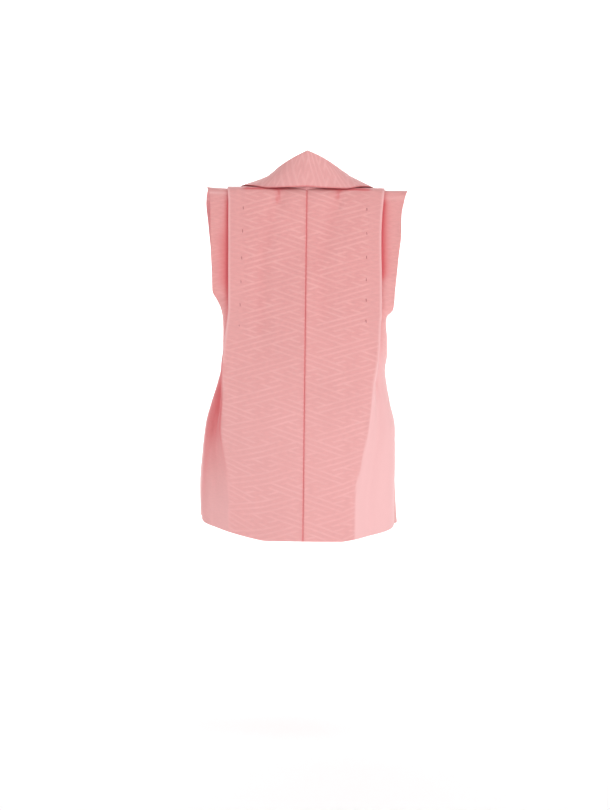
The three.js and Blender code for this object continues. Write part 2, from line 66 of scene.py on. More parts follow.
# the middle of the cloth from the back hem over the shoulder to the front hem: depth y, height
# z, how far the panel falls off at its fold, and then the panel's inner edge
PROFILE = columns("y z crown", [
    (102, -524, 20), (102, -470, 19), (101.5, -420, 17), (100, -365, 15), (98, -325, 13),
    (95.5, -297, 11), (92, -272, 10), (88, -248, 9), (84, -225, 8), (80, -206, 7),
    (78, -195, 6.5), (76.5, -185, 6.5), (75, -174, 6), (73, -160, 6), (69, -128, 5.5),
    (64.5, -85, 5), (60, -48, 4), (55.5, -24, 3), (50, -10, 2), (46.5, -7, 1.5), (41, -5.2, 1),
    (30, -3.6, 0.5), (15, -2.4, 0), (0, -2, 0), (-15, -2.7, 0), (-30, -5.2, 1), (-42, -10.5, 2),
    (-51, -22, 3), (-58, -48, 4), (-65, -76, 5), (-71.5, -104, 5.5), (-76.5, -128, 6),
    (-81, -160, 7), (-83, -174, 7), (-84.5, -185, 7.5), (-86, -195, 7.5), (-87.5, -206, 8),
    (-91, -225, 9), (-94.5, -248, 10), (-97.5, -272, 11), (-100, -297, 12), (-102.5, -325, 13),
    (-105, -365, 15), (-107, -420, 17), (-108, -470, 19), (-108, -524, 20)])
PROFILE["inner"] = np.array([EDGE_GAP] * 19 + [14, 29, 46, 61, 70, 74] + [NECK_HALF] * 21)


def beside_panel(shut, opened):
    """What lies beyond the panel, by height: x of the tuck fold, how far the fold is turned,
    its radius, x of the outer edge and how far that lies behind the panel."""
    shut = [(z, fold, SHUT_TURN, SHUT_RADIUS, edge, depth) for z, fold, edge, depth in shut]
    return columns("z fold turn radius edge depth", shut + opened)


BACK, FRONT = {}, {}
BACK[1] = beside_panel([
    (-2, 117.6, 149, 1), (-10, 116.5, 144.5, 4), (-24, 115.3, 142.5, 5.5), (-48, 115, 141.3, 7),
    (-100, 114.2, 140.2, 8.5), (-137, 113.8, 138, 9), (-160, 113.3, 137, 11),
    (-174, 113, 129.5, 21), (-185, 112.9, 124.5, 33), (-195, 113.3, 122.5, 43),
    (-206, 114.6, 121.5, 49)], [
    (-225, 116.8, 176, 1, 121, 52), (-248, 119.6, 162, 1.6, 121, 56),
    (-272, 122.3, 138, 2.6, 123, 59), (-297, 122.4, 110, 4, 129, 61),
    (-325, 123.4, 86, 6, 136, 62), (-365, 125, 60, 6.5, 144, 63), (-420, 117, 36, 9, 148, 64),
    (-470, 112.5, 22, 12, 150, 64), (-524, 110, 10, 16, 149, 64)])
BACK[-1] = beside_panel([
    (-2, 115, 149.5, 3), (-10, 114, 147, 5), (-24, 112.8, 143.5, 6), (-48, 111, 139.8, 7),
    (-75, 110, 139.6, 7.5), (-104, 110.3, 136.4, 8.5), (-132, 111.2, 133.9, 9),
    (-160, 111.4, 131.2, 11), (-174, 111.5, 130.3, 14), (-185, 111.5, 128.6, 22),
    (-195, 111.6, 120, 38), (-206, 110.2, 119.5, 47)], [
    (-225, 109.6, 176, 1, 121, 52), (-248, 108.8, 160, 1.6, 121.5, 55),
    (-272, 107.4, 128, 3, 118.5, 58), (-297, 104, 92, 5, 121.5, 60),
    (-325, 102.6, 66, 7, 126.5, 62), (-365, 98.8, 46, 9, 134, 63), (-420, 91, 34, 13, 134.5, 64),
    (-470, 82.6, 26, 15, 133.5, 64), (-524, 81, 20, 16, 134, 64)])
FRONT[1] = beside_panel([
    (-2, 117.6, 149, 1), (-10, 117, 152, 3), (-22, 116.5, 152.5, 5), (-48, 116, 150, 6.5),
    (-104, 114.5, 144, 8), (-128, 114, 141, 9), (-160, 113.5, 137, 11), (-174, 113, 130, 20),
    (-185, 113, 125, 33), (-195, 113, 122.5, 44), (-206, 113.5, 121.5, 52)], [
    (-225, 114, 176, 1, 121, 56), (-248, 114.5, 160, 1.6, 122, 61),
    (-272, 115, 134, 2.8, 124.5, 65), (-297, 114, 106, 4.4, 129, 67),
    (-325, 112.5, 80, 6.8, 136, 68), (-365, 111, 56, 9.5, 144, 69.5),
    (-420, 108, 34, 12.5, 148, 71), (-470, 107, 20, 16, 150, 71), (-524, 106, 8, 20, 149, 71)])
FRONT[-1] = beside_panel([
    (-2, 115, 149.5, 3), (-10, 114.5, 148, 4), (-48, 112, 142, 6.5), (-104, 111.5, 137.5, 8),
    (-128, 111.5, 135, 9), (-160, 111.5, 131.5, 11), (-174, 111.5, 130, 15),
    (-185, 111.5, 127.5, 25), (-195, 111.5, 120.5, 41), (-206, 111.5, 119.5, 51)], [
    (-225, 111.5, 176, 1, 121, 56), (-248, 111.5, 160, 1.6, 121.5, 61),
    (-272, 111, 132, 2.8, 119.5, 65), (-297, 110, 104, 4.6, 121.5, 67),
    (-325, 108, 78, 7, 126.5, 68), (-365, 106, 54, 10, 133.5, 69.5),
    (-420, 103, 34, 13, 134.5, 71), (-470, 101, 22, 16, 133.5, 71), (-524, 100, 12, 18, 134, 71)])


def run_along(path):
    """Distance from the start of a path to each of its points."""
    return np.append(0, np.cumsum(np.linalg.norm(np.diff(path, axis=0), axis=1)))


def cubic(t):
    """Weights of a cubic between two ends: of the ends' values, then of their slopes."""
    return 2 * t**3 - 3 * t**2 + 1, 3 * t**2 - 2 * t**3, t**3 - 2 * t**2 + t, t**3 - t**2


def ramp(value, start, span):
    """0 up to the start, 1 beyond the span."""
    return np.clip((value - start) / span, 0, 1)


def swell(distance, reach):
    """1 at no distance, softly down to nothing."""
    return np.exp(-((distance / reach) ** 2))


def smooth(knots, values, x):
    """A monotone cubic through the knots, which rise, read at x."""
    step = np.diff(knots)
    slope = np.diff(values) / step
    tangent = np.empty(len(knots))
    tangent[0], tangent[-1] = slope[0], slope[-1]
    before, after = slope[:-1], slope[1:]
    same = before * after > 0
    w1, w2 = 2 * step[1:] + step[:-1], step[1:] + 2 * step[:-1]
    with np.errstate(divide="ignore", invalid="ignore"):
        mean = (w1 + w2) / (w1 / before + w2 / after)
    tangent[1:-1] = np.where(same, mean, 0)
    x = np.clip(x, knots[0], knots[-1])
    i = np.clip(np.searchsorted(knots, x, side="right") - 1, 0, len(step) - 1)
    h = step[i]
    a, b, c, d = cubic((x - knots[i]) / h)
    return (a * values[i] + b * values[i + 1]
            + c * h * tangent[i] + d * h * tangent[i + 1])


RIDGE_ROW = int(np.argmax(PROFILE["z"]))
profile_run = run_along(np.column_stack([PROFILE["y"], PROFILE["z"]]))
RIDGE_RUN = profile_run[RIDGE_ROW]
BODY_LENGTH = profile_run[-1]
# the cloth's outward direction in the profile: level on the upright stretches
outward = np.column_stack([np.gradient(PROFILE["z"]), -np.gradient(PROFILE["y"])])
outward /= np.linalg.norm(outward, axis=1)[:, None]
upright = PROFILE["z"] < UPRIGHT_Z
outward[upright] = np.column_stack([np.sign(PROFILE["y"]), 0 * PROFILE["y"]])[upright]


def profile_at(run):
    """Every profile value at a place along the cloth."""
    found = {name: smooth(profile_run, values, run) for name, values in PROFILE.items()}
    found["out_y"] = smooth(profile_run, outward[:, 0], run)
    found["out_z"] = smooth(profile_run, outward[:, 1], run)
    return found


def lap_at(z):
    """How far the lapped fronts lie outside or inside the plain one."""
    return LAP * ramp(z, LAP_FROM, LAP_FULL - LAP_FROM)


def hem_rise(side, cloth, z):
    """How far the hem's rise lifts a point, by the cloth between it and the middle."""
    low = ramp(z, HEM_FROM, HEM_Z - HEM_FROM)
    return HEM_RISE[side] * low * ramp(cloth, HEM_FLAT, HEM_SPAN) ** HEM_POWER


# a sewn edge is pressed inwards: distance from the edge, and how far it sinks there
EDGE_STEPS, EDGE_SINK = np.array([
    (0.33, 2.6), (0.33, 1.5), (0.4, 0.85), (0.62, 0.36), (1.1, 0.08), (2.1, 0), (3.8, 0)]).T
FLAT_STEPS = 34
TURN_STEPS = 7
TUCK_STEPS = 5
SIDE_STEPS = 15
PANEL_COLUMNS = len(EDGE_STEPS) + FLAT_STEPS - 1
CORNER_REACH, SHALLOW_SIDE, SIDE_DEPTH_SPAN = 0.5, 9, 30
SEAM_SOFT, SEAM_LINE = 0.8, 0.4  # painted shade in a seam's groove fades this softly, beyond a line this wide


def stepped(values, steps):
    """The values with the running sum of the steps after them."""
    return np.append(values, values[-1] + np.cumsum(steps))


def section(row, beside):
    """One row of a body length in its own plane: x, out and cloth from the middle."""
    turn = math.radians(beside["turn"])
    radius = beside["radius"]
    start = beside["fold"] - radius * math.sin(min(turn, math.pi / 2))
    pressed = row["inner"] - EDGE_GAP + EDGE_STEPS
    x = np.append(pressed, np.linspace(pressed[-1], start, FLAT_STEPS)[1:])
    out = -row["crown"] * (x / PANEL_HALF) ** 2
    cloth = x.copy()
    heading = -math.atan(2 * row["crown"] * start / PANEL_HALF**2)
    bend = turn / TURN_STEPS
    chord = 2 * radius * math.sin(bend / 2)
    flat_length = (TUCK_CLOTH - 2 * radius * turn) / TUCK_STEPS
    lengths = [chord] * TURN_STEPS + [flat_length] * TUCK_STEPS + [chord] * TURN_STEPS
    bends = [-bend] * TURN_STEPS + [0] * TUCK_STEPS + [bend] * TURN_STEPS
    angles = heading + np.cumsum(bends) - np.array(bends) / 2
    x = stepped(x, lengths * np.cos(angles))
    out = stepped(out, lengths * np.sin(angles))
    cloth = stepped(cloth, lengths)
    # the rest runs on along the panel and rounds the corner to its edge
    reach = CORNER_REACH + (1 - CORNER_REACH) * ramp(beside["depth"], SHALLOW_SIDE,
                                                     SIDE_DEPTH_SPAN)
    corner_x = x[-1] + (beside["edge"] - x[-1]) * reach
    corner_out = out[-1] + (corner_x - x[-1]) * math.tan(heading)
    t = np.arange(1, SIDE_STEPS + 1) / SIDE_STEPS
    a, b, c = (1 - t) ** 2, 2 * t * (1 - t), t * t
    side_x = a * x[-1] + b * corner_x + c * beside["edge"]
    side_out = a * out[-1] + b * corner_out - c * beside["depth"]
    steps = np.hypot(np.diff(side_x, prepend=x[-1]), np.diff(side_out, prepend=out[-1]))
    return np.append(x, side_x), np.append(out, side_out), stepped(cloth, steps)


# soft creases, as x and z along each crease, its half width and its depth
LEFT_HOLLOW = ((43, -26), (54, -60), (66, -130), (64, -215))
RIGHT_HOLLOW = ((-45, -20), (-33, -60), (-20, -115), (-26, -195))
BACK_CREASES = (
    (((42, -8), (38, -30)), 3.5, 2.4), (((30, -8), (33, -22)), 3, 1.0),
    (((-44, -8), (-49, -32)), 3.5, 2.4), (((-62, -8), (-60, -20)), 3, 1.0),
    (((126, -352), (131, -400), (134, -430)), 5, 1.6),
    (((128, -402), (120, -436), (112, -470)), 4, 1.1),
    (((137, -395), (139, -450), (138, -490)), 5, 1.6), (((122, -300), (127, -340)), 4, 1.6),
    (((118, -330), (124, -372), (122, -410)), 3, 1.2),
    (((131, -345), (136, -385), (141, -420)), 3, 1.4),
    (((126, -430), (133, -462), (130, -500)), 3.5, 1.3), (((143, -440), (146, -480)), 3, 1.2),
    (((-97, -300), (-91, -345), (-84, -400), (-78, -450), (-77, -505)), 7, 1.2),
    (((-112, -285), (-116, -330), (-113, -372)), 7, 1.3),
    (((96, -262), (104, -300), (106, -350)), 9, 0.9), (LEFT_HOLLOW, 11, 2.2),
    (RIGHT_HOLLOW, 12, 2.2), (((20, -120), (26, -240), (20, -360)), 22, 0.9),
    (((-30, -190), (-24, -330), (-32, -450)), 20, 0.9),
    (((62, -330), (70, -430), (66, -520)), 18, 1.1), (((-5, -380), (8, -470), (4, -520)), 20, 0.8))
# painted shade where the cloth gathers under the collar, and in the soft hollows that run down
# from
# there: the path, its half width and how deep the painted shade is in it
GATHER_SHADE = (
    (((35, -7), (46, -9)), 3, 0.7), (((41, -9), (43, -27)), 2.2, 0.6),
    (((-38, -7), (-50, -9)), 3, 0.7), (((-46, -9), (-45, -21)), 2.2, 0.6), (LEFT_HOLLOW, 8, 0.05),
    (RIGHT_HOLLOW, 9, 0.05))
FRONT_CREASES = (
    (((86, -150), (90, -260), (84, -380)), 12, 0.8),
    (((-88, -160), (-92, -300), (-86, -420)), 12, 0.8),
    (((10, -180), (16, -330), (8, -500)), 22, 0.9),
    (((-34, -260), (-28, -400), (-36, -510)), 18, 0.8), (((126, -330), (130, -420)), 6, 1.2),
    (((-112, -320), (-118, -400)), 6, 1.2))
WAVE_SIZE, WAVE_LONG, WAVE_DEPTH = 52.0, 150.0, 0.8


def nearest_to(path, x, z):
    """Distance from places on the cloth to a path of x and z."""
    nearest = np.full_like(x, 1e9)
    for (ax, az), (bx, bz) in zip(path, path[1:]):
        length = (bx - ax) ** 2 + (bz - az) ** 2
        t = np.clip(((x - ax) * (bx - ax) + (z - az) * (bz - az)) / length, 0, 1)
        nearest = np.minimum(nearest, np.hypot(x - ax - t * (bx - ax),
                                               z - az - t * (bz - az)))
    return nearest


def crease_depth(x, z, creases, seed):
    """How far soft creases and slow waves push the cloth inwards, from places across it."""
    depth = np.zeros_like(x)
    for path, width, deep in creases:
        depth += deep * swell(nearest_to(path, x, z), width)
    for k, (px, pz) in enumerate(zip(x.flat, z.flat)):
        depth.flat[k] += WAVE_DEPTH * noise.noise((px / WAVE_SIZE, pz / WAVE_LONG, seed))
    return depth


CREASE_FADE = 24  # height below the shoulder over which creases come in
BACK_FOLDS, FRONT_FOLDS = (BACK_CREASES, 3.7, -1), (FRONT_CREASES, 9.2, 1)


def creased(points, folds):
    """The rows of points, moved inwards by the creases of the back or of the front."""
    creases, seed, inward = folds
    deep = crease_depth(points[..., 0], points[..., 2], creases, seed)
    moved = points.copy()
    moved[..., 1] += inward * deep * ramp(-points[..., 2], 0, CREASE_FADE)
    return moved


# the rows of a body length: even, with one exactly where the neck opening starts and one close
# to it on each side
NECK_ROW = int(np.argmax(PROFILE["inner"] > EDGE_GAP)) - 1
NECK_ROW_GAP = 0.9
body_runs = np.unique(np.append(np.linspace(0, BODY_LENGTH, int(BODY_LENGTH / ROW_PITCH)),
                                profile_run[NECK_ROW] + NECK_ROW_GAP * np.arange(-1, 2)))


def body_rows(side):
    """Points, cloth coordinates and painted light and shade of a body length, row by row."""
    rows = profile_at(body_runs)
    back = body_runs <= RIDGE_RUN
    points, across, tones = [], [], []
    for k, is_back in enumerate(back):
        row = {name: values[k] for name, values in rows.items()}
        beside = read_at((BACK if is_back else FRONT)[side], row["z"])
        x, out, cloth = section(row, beside)
        near_seam = np.exp(-np.clip(x - row["inner"] - SEAM_LINE, 0, None) / SEAM_SOFT)
        near_seam[PANEL_COLUMNS:] = 0
        away = out.copy()
        away[:len(EDGE_SINK)] -= EDGE_SINK
        if not is_back:
            away = away + side * lap_at(row["z"])
        lift = hem_rise(side, cloth, row["z"])
        points.append(np.column_stack([side * x, row["y"] + row["out_y"] * away,
                                       row["z"] + row["out_z"] * away + lift]))
        across.append(cloth)
        tones.append(painted_light_and_shade(side, is_back, x, row["z"] + lift, beside, near_seam))
    points = np.array(points)
    points[back] = creased(points[back], BACK_FOLDS)
    points[~back] = creased(points[~back], FRONT_FOLDS)
    return points, np.array(across), RIDGE_RUN - body_runs, np.array(tones).transpose(1, 0, 2)


# painted light and shade of the cloth by height: painted shade right beside the shut fold, and
# wider out with its reach; along the outer edge, with its reach; all over the side; then painted
# light over the side and how far the figure's sheen is painted out there
LIGHT_AND_SHADE = {}
LIGHT_AND_SHADE[1] = columns("z core wide reach rim rim_reach side pale plain", [
    (0, 0, 0, 8, 0, 3, 0, 0, 0.6), (-18, 0.4, 0.05, 8, 0, 3, 0, 0, 0.6),
    (-30, 0.9, 0.13, 9, 0, 3, 0, 0, 0.6), (-60, 1, 0.3, 10, 0, 3, 0, 0, 0.7),
    (-90, 1, 0.6, 13.5, 0, 3, 0, 0, 0.7), (-140, 1, 0.66, 13.5, 0, 3, 0, 0, 0.6),
    (-165, 0.8, 0.3, 9, 0.1, 3, 0, 0, 0.6), (-185, 0.5, 0.1, 8, 0.1, 3, 0, 0, 0.6),
    (-250, 0.3, 0.1, 8, 0.1, 3, 0, 0, 0.8), (-290, 0.4, 0.35, 12, 0.2, 5, 0.3, 0, 0.95),
    (-310, 0.3, 0.25, 12, 0.5, 6, 0.56, 0, 1), (-362, 0.2, 0.1, 12, 0.6, 6, 0.5, 0, 1),
    (-388, 0, 0, 9, 0.6, 5, 0.28, 0, 0.95), (-415, 0, 0, 8, 0.6, 4.5, 0.14, 0.05, 0.9),
    (-440, 0, 0, 8, 0.55, 4, 0.05, 0.15, 0.8), (-490, 0, 0, 8, 0.4, 3.5, 0, 0.25, 0.75),
    (-524, 0, 0, 8, 0.15, 3, 0, 0.25, 0.7)])
LIGHT_AND_SHADE[-1] = columns("z core wide reach pale plain", [
    (0, 0, 0, 7, 0, 0.6), (-18, 0.4, 0.1, 7, 0, 0.6), (-30, 1, 0.45, 8, 0, 0.7),
    (-60, 1, 0.7, 9, 0, 0.7), (-110, 1, 0.8, 9, 0, 0.7), (-132, 0.95, 0.6, 9, 0, 0.6),
    (-145, 0.35, 0.1, 6, 0.1, 0.6), (-160, 0.2, 0, 6, 0.1, 0.5), (-230, 0.1, 0, 6, 0.3, 0.6),
    (-270, 0, 0, 6, 0.75, 0.5), (-300, 0, 0, 6, 0.9, 0.3), (-524, 0, 0, 6, 0.9, 0.1)])
CLEAR_SIDE = {"rim": 0, "rim_reach": 3, "side": 0}  # where a side's table names no such painted shade
CORE_REACH = 4.4
FRONT_FOLD_END, FRONT_FOLD_FADE = -270, 30  # lower down the tuck has opened on the front
# where the opened fold is seen on the lower back, by height
FOLD_SEEN = {
    1: columns("z x", [(-217, 117), (-290, 120), (-320, 119.5), (-362, 121), (-390, 117.5),
                       (-420, 111.5), (-441, 108.5), (-524, 107)]),
    -1: columns("z x", [(-200, 111.6), (-225, 109), (-272, 104.5), (-297, 99.5),
                        (-325, 97.2), (-365, 93), (-395, 86.5), (-420, 82), (-445, 76),
                        (-524, 75.3)]),
}
FOLD_SEEN_BELOW = -217  # above it the panel's own edge is the fold
FOLD_SOFT = 2.5
HALF_OPEN, NEARLY_SHUT = 90, 0.6
# painted shade in the groove of a sewn seam, at its deepest
SEAM_SHADE = 0.66
# the tuck's own layers lie under the panel between its stitches and its fold
# that band gets a little painted light, and its figure's sheen is painted fainter
TUCK_BAND_X, TUCK_BAND_SOFT, TUCK_BAND_Z = 89, 4, -232
TUCK_BAND_PALE, TUCK_BAND_PLAIN = 0.08, 0.65
# a painted highlight along the panel's fold edge, where the fold is shut
FOLD_EDGE_HIGHLIGHT = 0.75
# painted light, growing towards the hem
LOW_PALE, LOW_PALE_FROM, LOW_PALE_SPAN = 0.26, 120, 260
# a ridge of light across the top of the strip beyond the tuck
STRIP_RIDGE = {1: (-13, 0.7), -1: (-18, 0.5)}
STRIP_RIDGE_WIDTH = 2.0
# painted shadow under the collar's edge: start and span of its height, of its inner and outer end
UNDER_COLLAR_Z, UNDER_COLLAR_IN, UNDER_COLLAR_OUT = (-10.5, 2.5), (8, 22), (96, -6)


def read_at(table, z):
    """Every column of a table at the heights."""
    return {name: smooth(-table["z"], values, -np.asarray(z, float))
            for name, values in table.items()}


def painted_light_and_shade(side, back, x, height, beside, near_seam):
    """Painted shade, painted fading of the figure's sheen and painted light along a row of a body
    length.
    """
    first = PANEL_COLUMNS
    last = first + 2 * TURN_STEPS + TUCK_STEPS
    here = {**CLEAR_SIDE, **read_at(LIGHT_AND_SHADE[side], height)}
    shut = ramp(beside["turn"], HALF_OPEN, SHUT_TURN - HALF_OPEN)
    seen = beside["fold"]
    if back and height[0] < FOLD_SEEN_BELOW:
        seen = read_at(FOLD_SEEN[side], height)["x"]
    side_part = ramp(x, seen - FOLD_SOFT / 2, FOLD_SOFT)
    side_part[first + TURN_STEPS:] = np.maximum(side_part[first + TURN_STEPS:], shut)
    if shut > NEARLY_SHUT:
        side_part[:first] = 0
    beyond = np.clip(x - beside["fold"], 0, None)
    core = here["core"] * swell(beyond, CORE_REACH)
    wide = here["wide"] * swell(beyond, here["reach"])
    rim = here["rim"] * np.exp(-np.clip(beside["edge"] - x, 0, None) / here["rim_reach"])
    if not back:  # the painted light and shade of the lower sides belong to the back alone
        rim, here["side"], here["pale"] = 0, 0, 0
        fold_left = ramp(height, FRONT_FOLD_END, FRONT_FOLD_FADE)
        core, wide = core * fold_left, wide * fold_left
    clear = (1 - core) * (1 - wide) * (1 - rim) * (1 - here["side"])
    shade = side_part * (1 - clear)
    # the hidden layers of a shut tuck are painted in shade
    hidden = slice(first + TURN_STEPS // 2, last)
    shade[hidden] = np.maximum(shade[hidden], shut)
    shade = np.maximum(shade, SEAM_SHADE * near_seam)
    pale = LOW_PALE * ramp(-height, LOW_PALE_FROM, LOW_PALE_SPAN) + side_part * here["pale"]
    band = ramp(x, TUCK_BAND_X, TUCK_BAND_SOFT) * (height > TUCK_BAND_Z) * shut
    band[first:] = 0
    pale += TUCK_BAND_PALE * band
    plain = np.maximum(side_part * here["plain"], TUCK_BAND_PLAIN * band)
    pale[first - 1:first + 3] += FOLD_EDGE_HIGHLIGHT * shut
    ridge_z, ridge_pale = STRIP_RIDGE[side]
    pale[last:] += ridge_pale * swell(height - ridge_z, STRIP_RIDGE_WIDTH)[last:]
    # painted shadow under the collar's edge, and painted shade in the gathers and hollows
    if back:
        under = (ramp(height, *UNDER_COLLAR_Z) * ramp(x, *UNDER_COLLAR_IN)
                 * ramp(x, *UNDER_COLLAR_OUT))
        gather_shade = np.max([strength * swell(nearest_to(path, side * x, height), width)
                           for path, width, strength in GATHER_SHADE], axis=0)
        shade[:first] = 1 - ((1 - shade) * (1 - under) * (1 - gather_shade))[:first]
    return shade, plain, np.clip(pale, 0, 1)


def with_settings(thing, **settings):
    for name, value in settings.items():
        setattr(thing, name, value)
    return thing


def placed(name, data):
    """An object that shows the data, in the scene."""
    thing = bpy.data.objects.new(name, data)
    bpy.context.scene.collection.objects.link(thing)
    return thing


def made_of(name, bm, *materials):
    """The object that bm holds, with its materials."""
    mesh = bpy.data.meshes.new(name)
    bm.to_mesh(mesh)
    bm.free()
    for material in materials:
        mesh.materials.append(material)
    return placed(name, mesh)


def grid_cells(verts, rows, cols):
    """The row and column of each vertex of a grid that bmesh has just made."""
    return {vert: (round((vert.co.y + 1) / 2 * (rows - 1)),
                   round((vert.co.x + 1) / 2 * (cols - 1))) for vert in verts}


def over_grid(values, shape):
    """Values given for the whole grid, row by row or cell by cell, as one for each cell."""
    return np.broadcast_to(np.asarray(values, float).reshape(
        shape if np.size(values) == shape[0] * shape[1] else (-1, 1)), shape)


def cloth_piece(name, points, across, along, shade, outward_side, plain=0.0, pale=0.0):
    """A shell of cloth through a grid of points in mm, with its own cloth coordinates in m."""
    rows, cols = points.shape[:2]
    along = over_grid(along, (rows, cols))
    bm = bmesh.new()
    bmesh.ops.create_grid(bm, x_segments=cols - 1, y_segments=rows - 1, size=1)
    place = bm.loops.layers.uv.new("cloth")
    # painted shade, painted fading of the figure's sheen and painted light, one value for each
    # vertex
    tones = [(bm.verts.layers.float.new(tone), over_grid(values, (rows, cols)))
             for tone, values in (("fold_shadow", shade), ("painted_figure_fade", plain),
                                  ("painted_light", pale))]
    cell = grid_cells(bm.verts, rows, cols)
    for vert, at in cell.items():
        vert.co = Vector(points[at]) * MM
        for layer, values in tones:
            vert[layer] = values[at]
    for face in bm.faces:
        face.smooth = True
        for loop in face.loops:
            at = cell[loop.vert]
            loop[place].uv = (across[at] * MM, along[at] * MM)
    if outward_side > 0:
        bmesh.ops.reverse_faces(bm, faces=bm.faces)
    piece = made_of(name, bm, *SATIN)
    with_settings(piece.modifiers.new("cloth thickness", "SOLIDIFY"),
                  thickness=CLOTH_THICK * MM, offset=0, material_offset=1)
    with_settings(piece.modifiers.new("turned edge", "BEVEL"), limit_method="ANGLE",
                  angle_limit=RIM_ANGLE, width=RIM_WIDTH * MM, segments=2,
                  harden_normals=False)
    return piece


# The figure is woven: two families of long strokes cross the cloth on a slanting lattice and
# turn into keys.  One lattice step goes STEP_ACROSS sideways; lines lie LINE_PITCH apart.
STEP_ACROSS = 12.615 * MM
LINE_PITCH = 8.12 * MM
HALF_STROKE = 0.16
STROKE_CAP = 0.2
STROKE_SOFT = 0.14
WEAVE_SKEW = 0.0262
REPEAT = 5
# for each line of the repeat, the shortest and longest distance from the stroke's middle
UPRIGHT_STROKES = ((0, 3), (0, 4), (0, 3), (3, 4), (1, 2))
LEVEL_STROKES = ((0, 4), (0, 3), (3, 4), (1, 2), (2, 5))
UPRIGHT_MIDDLE, LEVEL_MIDDLE = 5, 1
LONGEST = 10  # a colour ramp holds the distances as shares of this
# noise over the cloth: its scale and detail, and how much of it is used
WANDER, WANDER_SHARE = (14, 1), 0.0022
PATCHES = (26, 2)
TONE, TONE_SHARE = (7, 3), 0.16
SLUB_STRETCH, SLUB, SLUB_SHARE = (260, 2300, 1), (1, 2), 0.06
GRAIN_STRETCH, GRAIN, GRAIN_SHARE = (150, 420, 1), (1, 3), 0.2


class Reading:
    """What a node puts out; arithmetic with it adds Math nodes to its tree."""

    def __init__(self, out):
        self.out = out
        self.tree = out.id_data

    def __add__(self, other):
        return calc("ADD", self, other)

    def __sub__(self, other):
        return calc("SUBTRACT", self, other)

    def __rsub__(self, other):
        return calc("SUBTRACT", other, self)

    def __mul__(self, other):
        return calc("MULTIPLY", self, other)

    def __truediv__(self, other):
        return calc("DIVIDE", self, other)

    def __mod__(self, other):
        return calc("FLOORED_MODULO", self, other)

    def __abs__(self):
        return calc("ABSOLUTE", self)


def feed(node, values):
    """Gives the inputs of a node plain values or readings, by name or by number."""
    for key, value in values.items():
        if isinstance(value, Reading):
            value.tree.links.new(value.out, node.inputs[key])
        else:
            node.inputs[key].default_value = value


def add_node(tree, kind, values=None, **settings):
    """A new shader node with its settings and its inputs."""
    node = with_settings(tree.nodes.new(f"ShaderNode{kind}"), **settings)
    feed(node, values or {})
    return node


def reading(tree, kind, values=None, out=0, **settings):
    return Reading(add_node(tree, kind, values, **settings).outputs[out])


def calc(operation, *values):
    """The reading of a Math node; at least one of its values is a reading."""
    tree = next(value.tree for value in values if isinstance(value, Reading))
    return reading(tree, "Math", dict(enumerate(values)), operation=operation)


def noise_over(where, scale, detail):
    return reading(where.tree, "TexNoise", {"Vector": where, "Scale": scale, "Detail": detail})


def stretched(where, scale):
    return reading(where.tree, "Mapping", {"Vector": where, "Scale": scale})


def blended(share, one, other):
    """A colour between two, by the share of the other."""
    return reading(share.tree, "Mix", {"Factor": share, 6: one, 7: other}, 2, data_type="RGBA")


def attribute(tree, name):
    return reading(tree, "Attribute", out="Fac", attribute_name=name)


def cloth_place(tree):
    return reading(tree, "UVMap", uv_map="cloth")


def across_and_along(where):
    split = add_node(where.tree, "SeparateXYZ", {0: where})
    return Reading(split.outputs[0]), Reading(split.outputs[1])


def stroke_family(line, run, strokes, middle):
    """The mask of one family of strokes: `line` counts the lines, `run` measures along them."""
    tree = line.tree
    number = calc("FLOOR", line + 0.5)
    kind = number % REPEAT
    turned = (run - (number - kind) + (REPEAT - middle)) % (2 * REPEAT)
    off_middle = abs(turned - REPEAT)
    chart = add_node(tree, "ValToRGB", {0: (kind + 0.5) / REPEAT},
                     label="stroke ends of each line")
    chart.color_ramp.interpolation = "CONSTANT"
    stops = chart.color_ramp.elements
    while len(stops) < REPEAT:
        stops.new(0.5)
    for k in range(REPEAT):
        stops[k].position = k / REPEAT
    for k, (short, far) in enumerate(strokes):
        stops[k].color = (short / LONGEST, far / LONGEST, 0, 1)
    ends = add_node(tree, "SeparateColor", {0: Reading(chart.outputs[0])})
    short_end, far_end = (Reading(end) * LONGEST for end in ends.outputs[:2])
    past_short = off_middle + STROKE_CAP - short_end
    before_far = far_end + STROKE_CAP - off_middle
    inside = HALF_STROKE - abs(line - number)
    nearest = calc("MINIMUM", calc("MINIMUM", past_short, before_far), inside)
    return reading(tree, "MapRange", {"Value": nearest, "From Min": -STROKE_SOFT,
                                      "From Max": STROKE_SOFT}, interpolation_type="SMOOTHSTEP")


